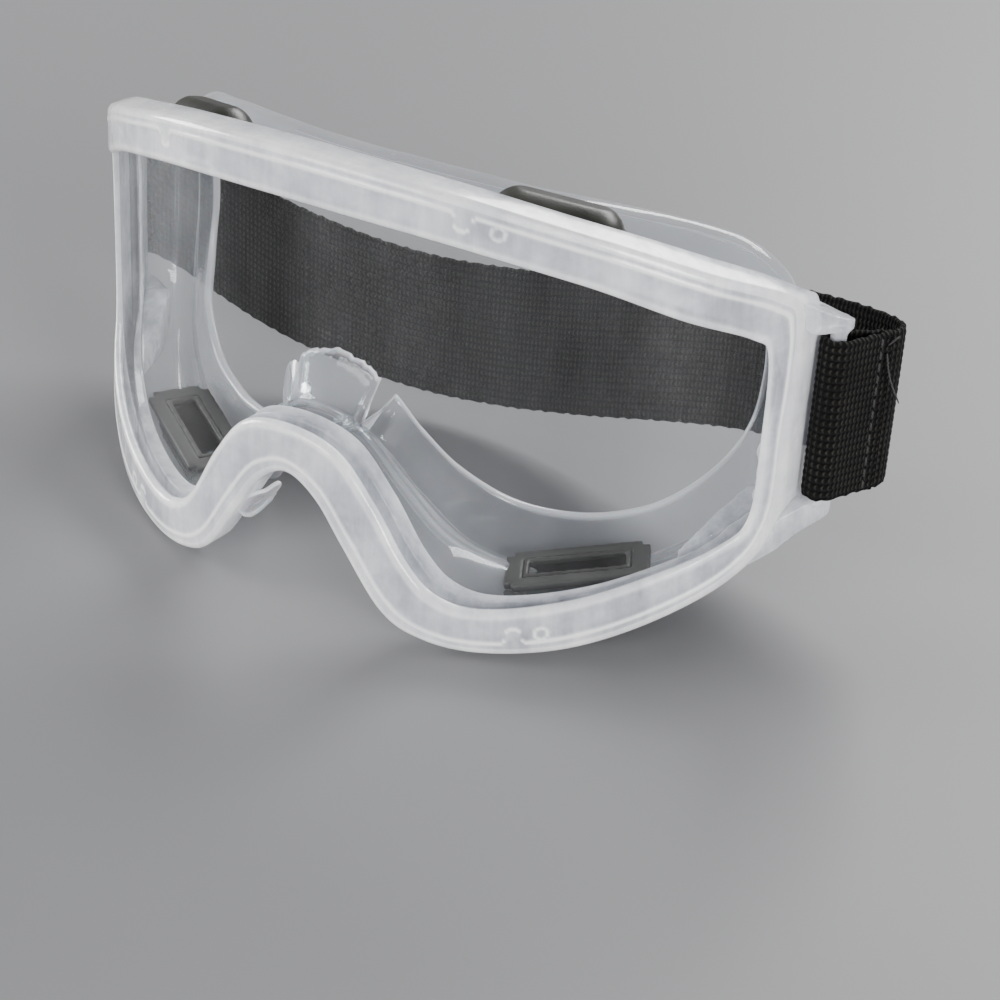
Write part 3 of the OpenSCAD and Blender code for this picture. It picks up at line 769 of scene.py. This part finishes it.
strap = dict(wide=31.0, thick=1.4, middle=45.5, ribs=22, ribDeep=0.22, step=0.9,
             bar=(81.65, 50.8), seam=(86.8, 58.2), barRadius=1.5, clear=0.35,
             samples=400, sideSpans=6)
strapRight = [(86.8, 58.2, 0), (88.4, 61.6, 0.1), (87, 65.4, 0.4), (81.8, 68.6, 1), (73, 71.2, 1.8),
              (62, 73.6, 3.2), (50, 75.4, 5.4), (34, 76.8, 9.4), (17, 77.6, 13.8), (0, 77.4, 17.2)]
strapLeft = [(86.8, 58.2, 0), (88.4, 61.4, 0.4), (86.4, 64.4, 1.6), (80, 66.4, 4.2), (71, 67.6, 8),
             (60.5, 68.8, 11.8), (49, 70.6, 15), (33, 73.2, 17.8), (17, 75.6, 18.6), (0, 77.4, 17.2)]


# Ribbed flat elastic swept along a line of [x, y, drop], on edge
def webbing(name, line, body, replaced, alongStart=0.0):
    line = np.asarray(line, float)
    gaps = np.r_[0, np.cumsum(np.linalg.norm(np.diff(line[:, :2], axis=0), axis=1))]
    count = max(int(gaps[-1] / strap["step"]) + 1, 8)
    at = np.linspace(0, gaps[-1], count)
    path = np.c_[tuple(np.interp(at, gaps, line[:, i]) for i in range(3))]
    tangent = unit(np.gradient(path[:, :2], axis=0))
    out = np.c_[tangent[:, 1], -tangent[:, 0]]
    across = np.linspace(-0.5, 0.5, strap["ribs"] * 5 + 1)  # five steps a rib
    ribbed = strap["ribDeep"] * np.abs(np.cos(across * strap["ribs"] * math.pi)) ** 0.7
    taper = np.sqrt(np.clip(1 - (np.abs(across) * 2) ** 40, 0, 1))
    half = (strap["thick"] / 2 - strap["ribDeep"] + ribbed) * (0.35 + 0.65 * taper)
    pull = 0.14 * np.sin(at * 1.9)[:, None] + 0.09 * np.sin(at * 4.1)[:, None]
    z = strap["middle"] - path[:, 2:3] + across * strap["wide"] * 0.995
    z = z + pull * (np.abs(across) > 0.47)
    faceA = np.stack([path[:, :1] + out[:, :1] * half, path[:, 1:2] + out[:, 1:] * half, z], -1)
    faceB = np.stack([path[:, :1] - out[:, :1] * half, path[:, 1:2] - out[:, 1:] * half, z], -1)
    rings = np.concatenate([faceA, faceB[:, ::-1]], axis=1)
    n, m = rings.shape[:2]
    faces = gridFaces(n, m, False, True) + [list(range(m)), [(n - 1) * m + i for i in range(m)]]
    alongValue = np.repeat((at + alongStart)[:, None], m, 1)
    acrossValue = np.repeat(np.r_[across, across[::-1]][None] * strap["ribs"] + strap["ribs"] + 0.5, n, 0)
    return makePiece(name, seated(rings), faces, elastic, body, replaced, sharp=70,
                     values={"along": alongValue, "across": acrossValue})


# The bar and the seam of one strap end, and the way from one to the other
def strapEnd(sign):
    bar = np.array(strap["bar"]) * (sign, 1)
    seam = np.array(strap["seam"]) * (sign, 1)
    return bar, seam, (seam - bar) / np.linalg.norm(seam - bar)


strapLines = []
for name, sign, line in (("Right", 1, strapRight), ("Left", -1, strapLeft)):
    node = name.lower()
    whole = smoothCurve(line, np.linspace(0, len(line) - 1, strap["samples"]), closed=False) * (sign, 1, 1)
    cut = int(strap["samples"] * strap["sideSpans"] / (len(line) - 1))
    bar, seam, axis = strapEnd(sign)
    side = np.array([axis[1], -axis[0]]) * sign
    turnRadius = strap["barRadius"] + strap["clear"] + strap["thick"] / 2
    angles = np.radians(np.linspace(75, 285, 26))
    turn = [bar + turnRadius * (math.cos(a) * axis + math.sin(a) * side) for a in angles]
    sewn = strap["thick"] * 0.5
    loopPath = [seam + side * sewn + axis * 1.2, seam + side * sewn - axis * 1.2] + turn \
        + [seam - side * sewn - axis * 1.2, seam - side * sewn + axis * 0.2]
    loopLine = np.c_[np.array(loopPath), np.zeros(len(loopPath))]
    loop = webbing("strapLoop" + name, loopLine, None, ["strap_loop_" + node], alongStart=3)
    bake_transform(loop)
    sidePiece = webbing("strapSide" + name, whole[:cut + 1], None, ["strap_side_" + node], alongStart=20)
    last = whole[cut]
    level = strap["middle"] - last[2]
    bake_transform(sidePiece)
    strapLines.append(whole[cut:])
backLine = np.vstack([strapLines[0], strapLines[1][::-1][1:]])
webbing("strapBack", backLine, "strap_back", ["strap_back"], alongStart=90)
print("strap made")


# Sewn seams and loose thread ends

# Rings of points round a path, drawn in at both ends
def tube(path, radius, sides=8):
    path = np.asarray(path, float)
    tangent = unit(np.gradient(path, axis=0))
    guide = np.array([0.3, 0.2, 0.93])
    u = unit(np.cross(tangent, guide))
    v = np.cross(tangent, u)
    a = np.linspace(0, 2 * math.pi, sides, endpoint=False)
    radii = radius * np.r_[0.45, np.ones(len(path) - 2), 0.45]
    return path[:, None] + radii[:, None, None] * (np.cos(a)[None, :, None] * u[:, None]
                                                   + np.sin(a)[None, :, None] * v[:, None])


def tubes(name, paths, radius, body, replaced):
    points, faces, base = [], [], 0
    for path in paths:
        rings = tube(path, radius)
        n, m = rings.shape[:2]
        faces += [[i + base for i in f] for f in gridFaces(n, m, False, True)]
        faces += [[base + i for i in range(m)], [base + (n - 1) * m + i for i in range(m)]]
        points.append(rings.reshape(-1, 3))
        base += n * m
    return makePiece(name, seated(np.vstack(points)), faces, thread, body, replaced)


stitches = dict(count=13, pitch=2.3, long=1.75, radius=0.24, lift=1.55, dip=0.35)
for name, sign in (("Right", 1), ("Left", -1)):
    seam, axis = strapEnd(sign)[1:]
    side = np.array([axis[1], -axis[0]])
    at = seam - axis
    paths = []
    for face in (-1, 1):
        for i in range(stitches["count"]):
            mid = strap["middle"] + (i - (stitches["count"] - 1) / 2) * stitches["pitch"]
            k = np.linspace(-1, 1, 7)
            lift = stitches["lift"] - stitches["dip"] * k ** 4
            paths.append(np.c_[at[0] + face * side[0] * lift, at[1] + face * side[1] * lift,
                               mid + k * stitches["long"] / 2])
    tubes("seamStitches" + name, paths, stitches["radius"], "strap", ["seam_stitches_" + name.lower()])

threadEnds = dict(start=(88.4, 57.2, 57.5), radius=0.17, steps=14)
tail = np.linspace(0, 1, threadEnds["steps"])[:, None]
startAt = np.array(threadEnds["start"])
tails = [startAt + tail * (3.3, 0.4, -8.8) + np.sin(tail * math.pi) * (-0.5, -0.3, 0),
         startAt + (0, 0, 1.5) + tail * (1.3, 1.4, 1.6) + np.sin(tail * math.pi) * (0.2, 0, 0.3)]
tubes("threadTails", tails, threadEnds["radius"], "strap", ["thread_tails"])
print("stitches made")

# Floor, light and camera

studio = dict(floor=(0.20, 0.20, 0.205), world=(0.60, 0.61, 0.64), worldPower=0.38)

floorMaterial, tree = newMaterial("floorPaper")
out = add(tree, "ShaderNodeOutputMaterial")
base = add(tree, "ShaderNodeBsdfPrincipled")
base.inputs["Base Color"].default_value = (*studio["floor"], 1)
setInputs(base, Roughness=0.5)
join(tree, base.outputs[0], out.inputs["Surface"])
mesh = bpy.data.meshes.new("floor")
mesh.from_pydata([(-6, -6, 0), (6, -6, 0), (6, 6, 0), (-6, 6, 0)], [], [(0, 1, 2, 3)])
mesh.materials.append(floorMaterial)
floor = bpy.data.objects.new("floor", mesh)
bpy.context.scene.collection.objects.link(floor)

world = bpy.data.worlds.new("studio")
world.use_nodes = True
world.node_tree.nodes["Background"].inputs["Color"].default_value = (*studio["world"], 1)
world.node_tree.nodes["Background"].inputs["Strength"].default_value = studio["worldPower"]
bpy.context.scene.world = world


def softLight(name, place, aim, size, power, colour=(1, 1, 1)):
    data = bpy.data.lights.new(name, "AREA")
    data.shape = "RECTANGLE"
    data.size, data.size_y = size
    data.energy = power
    data.color = colour
    light = bpy.data.objects.new(name, data)
    bpy.context.scene.collection.objects.link(light)
    place, aim = np.array(place, float), np.array(aim, float)
    back = unit(place - aim)
    right = unit(np.cross((0, 0, 1), back))
    up = np.cross(back, right)
    light.matrix_world = Matrix(np.vstack([np.c_[right, up, back, place], (0, 0, 0, 1)]).tolist())


softLight("rearBox", (0.15, 1.0, 0.75), (0, 0, 0.05), (1.1, 0.35), 24)
softLight("leftBox", (-1.0, -0.2, 0.34), (0, 0, 0.045), (0.5, 0.45), 15)
softLight("rightBox", (0.95, -0.5, 0.30), (0, 0, 0.045), (0.35, 0.5), 14)
softLight("frontBox", (-0.25, -1.05, 0.36), (0, 0, 0.045), (0.7, 0.35), 8)

view = dict(place=(0.2274, -0.3060, 0.2494), yaw=34.13, pitch=33.05, roll=-0.83, focal=82.2)
cameraData = bpy.data.cameras.new("camera")
cameraData.lens = view["focal"]
cameraData.sensor_width = 36
cameraData.clip_start = 0.01
camera = bpy.data.objects.new("camera", cameraData)
bpy.context.scene.collection.objects.link(camera)
camera.matrix_world = (Matrix.Translation(view["place"]) @ Matrix.Rotation(math.radians(view["yaw"]), 4, "Z")
                       @ Matrix.Rotation(math.radians(90 - view["pitch"]), 4, "X")
                       @ Matrix.Rotation(math.radians(view["roll"]), 4, "Z"))
bpy.context.scene.camera = camera
print("stage made")
